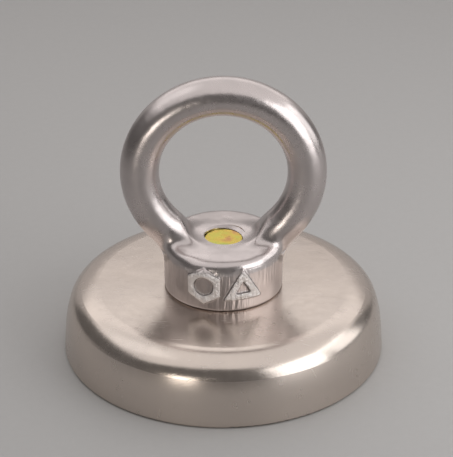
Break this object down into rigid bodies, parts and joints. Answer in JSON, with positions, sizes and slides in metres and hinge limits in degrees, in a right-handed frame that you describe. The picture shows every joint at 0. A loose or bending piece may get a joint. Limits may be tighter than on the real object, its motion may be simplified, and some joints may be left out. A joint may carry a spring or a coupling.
{
  "type": "magnet fishing magnet",
  "caption": "Round pot magnet for magnet fishing: a steel pot around a ring magnet, with a cast eye nut screwed onto its countersunk bolt for a rope.",
  "frame": {"origin": "centre of the magnetic face, in the plane of the pot's rim", "axes": "+Z out of the top of the pot and through the eye nut, along the bolt; +Y through the hole of the eye; +X across the eye"},
  "size_m": [0.042, 0.042, 0.0384],
  "materials": {
    "plated_pot": "satin nickel plate",
    "plated_magnet": "bright nickel plate",
    "black_resin": "cast, semi-gloss",
    "bond_film": "cured adhesive",
    "yellow_zinc": "yellow passivated zinc plate",
    "plated_casting": "satin nickel plate over a casting",
    "locking_compound": "cured compound"
  },
  "bodies": {
    "pot": {"steel_cup": "plated_pot", "magnet_ring": "plated_magnet", "resin_ring": "black_resin", "magnet_bond": "bond_film", "countersunk_bolt": "yellow_zinc"},
    "locking_bead": {"thread_locker": "locking_compound"},
    "eye": {"eye_nut": "plated_casting"}
  },
  "joints": [
    {"name": "eye_nut_rise", "type": "slide", "parent": "pot", "child": "locking_bead", "axis": [0, 0, 1], "range_m": [0, 0.00575]},
    {"name": "eye_nut_turn", "type": "hinge", "parent": "locking_bead", "child": "eye", "pos_m": [0, 0, 0.009], "axis": [0, 0, 1], "range_deg": [0, 2070]}
  ],
  "couplings": [
    {"joint": "eye_nut_rise", "follows": "eye_nut_turn", "m_per_rad": 0.00015915}
  ]
}
